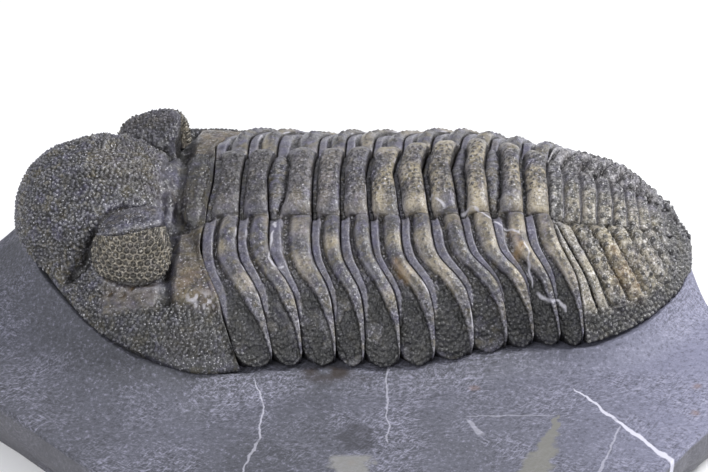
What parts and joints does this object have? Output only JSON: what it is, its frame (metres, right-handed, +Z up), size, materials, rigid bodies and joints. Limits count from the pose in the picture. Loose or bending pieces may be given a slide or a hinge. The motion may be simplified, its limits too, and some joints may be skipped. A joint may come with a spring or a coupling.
{
  "type": "drotops trilobite fossil",
  "caption": "Large warty trilobite fossil with a bulging head, big compound eyes, a ribbed thorax and a rounded tail, lying on a slab of grey limestone.",
  "frame": {"origin": "centre of the slab's bounding box, on its flat underside", "axes": "+X along the fossil from head to tail, +Y from the animal's left side to its right, +Z up"},
  "size_m": [0.1536, 0.1194, 0.038],
  "materials": {
    "limestone_matrix": "matt blue-grey limestone, scraped smooth by preparation",
    "fossil_head": "dark calcite shell with a close cover of tubercles, slightly satin",
    "fossil_thorax": "dark grey to brown calcite shell, slightly satin",
    "fossil_tail": "khaki calcite shell with dark tubercles, slightly satin"
  },
  "bodies": {
    "root": {"matrix": "limestone_matrix", "cephalon": "fossil_head", "thorax_segment_01": "fossil_thorax", "thorax_segment_02": "fossil_thorax", "thorax_segment_03": "fossil_thorax", "thorax_segment_04": "fossil_thorax", "thorax_segment_05": "fossil_thorax", "thorax_segment_06": "fossil_thorax", "thorax_segment_07": "fossil_thorax", "thorax_segment_08": "fossil_thorax", "thorax_segment_09": "fossil_thorax", "thorax_segment_10": "fossil_thorax", "thorax_segment_11": "fossil_thorax", "pygidium": "fossil_tail"}
  },
  "joints": []
}
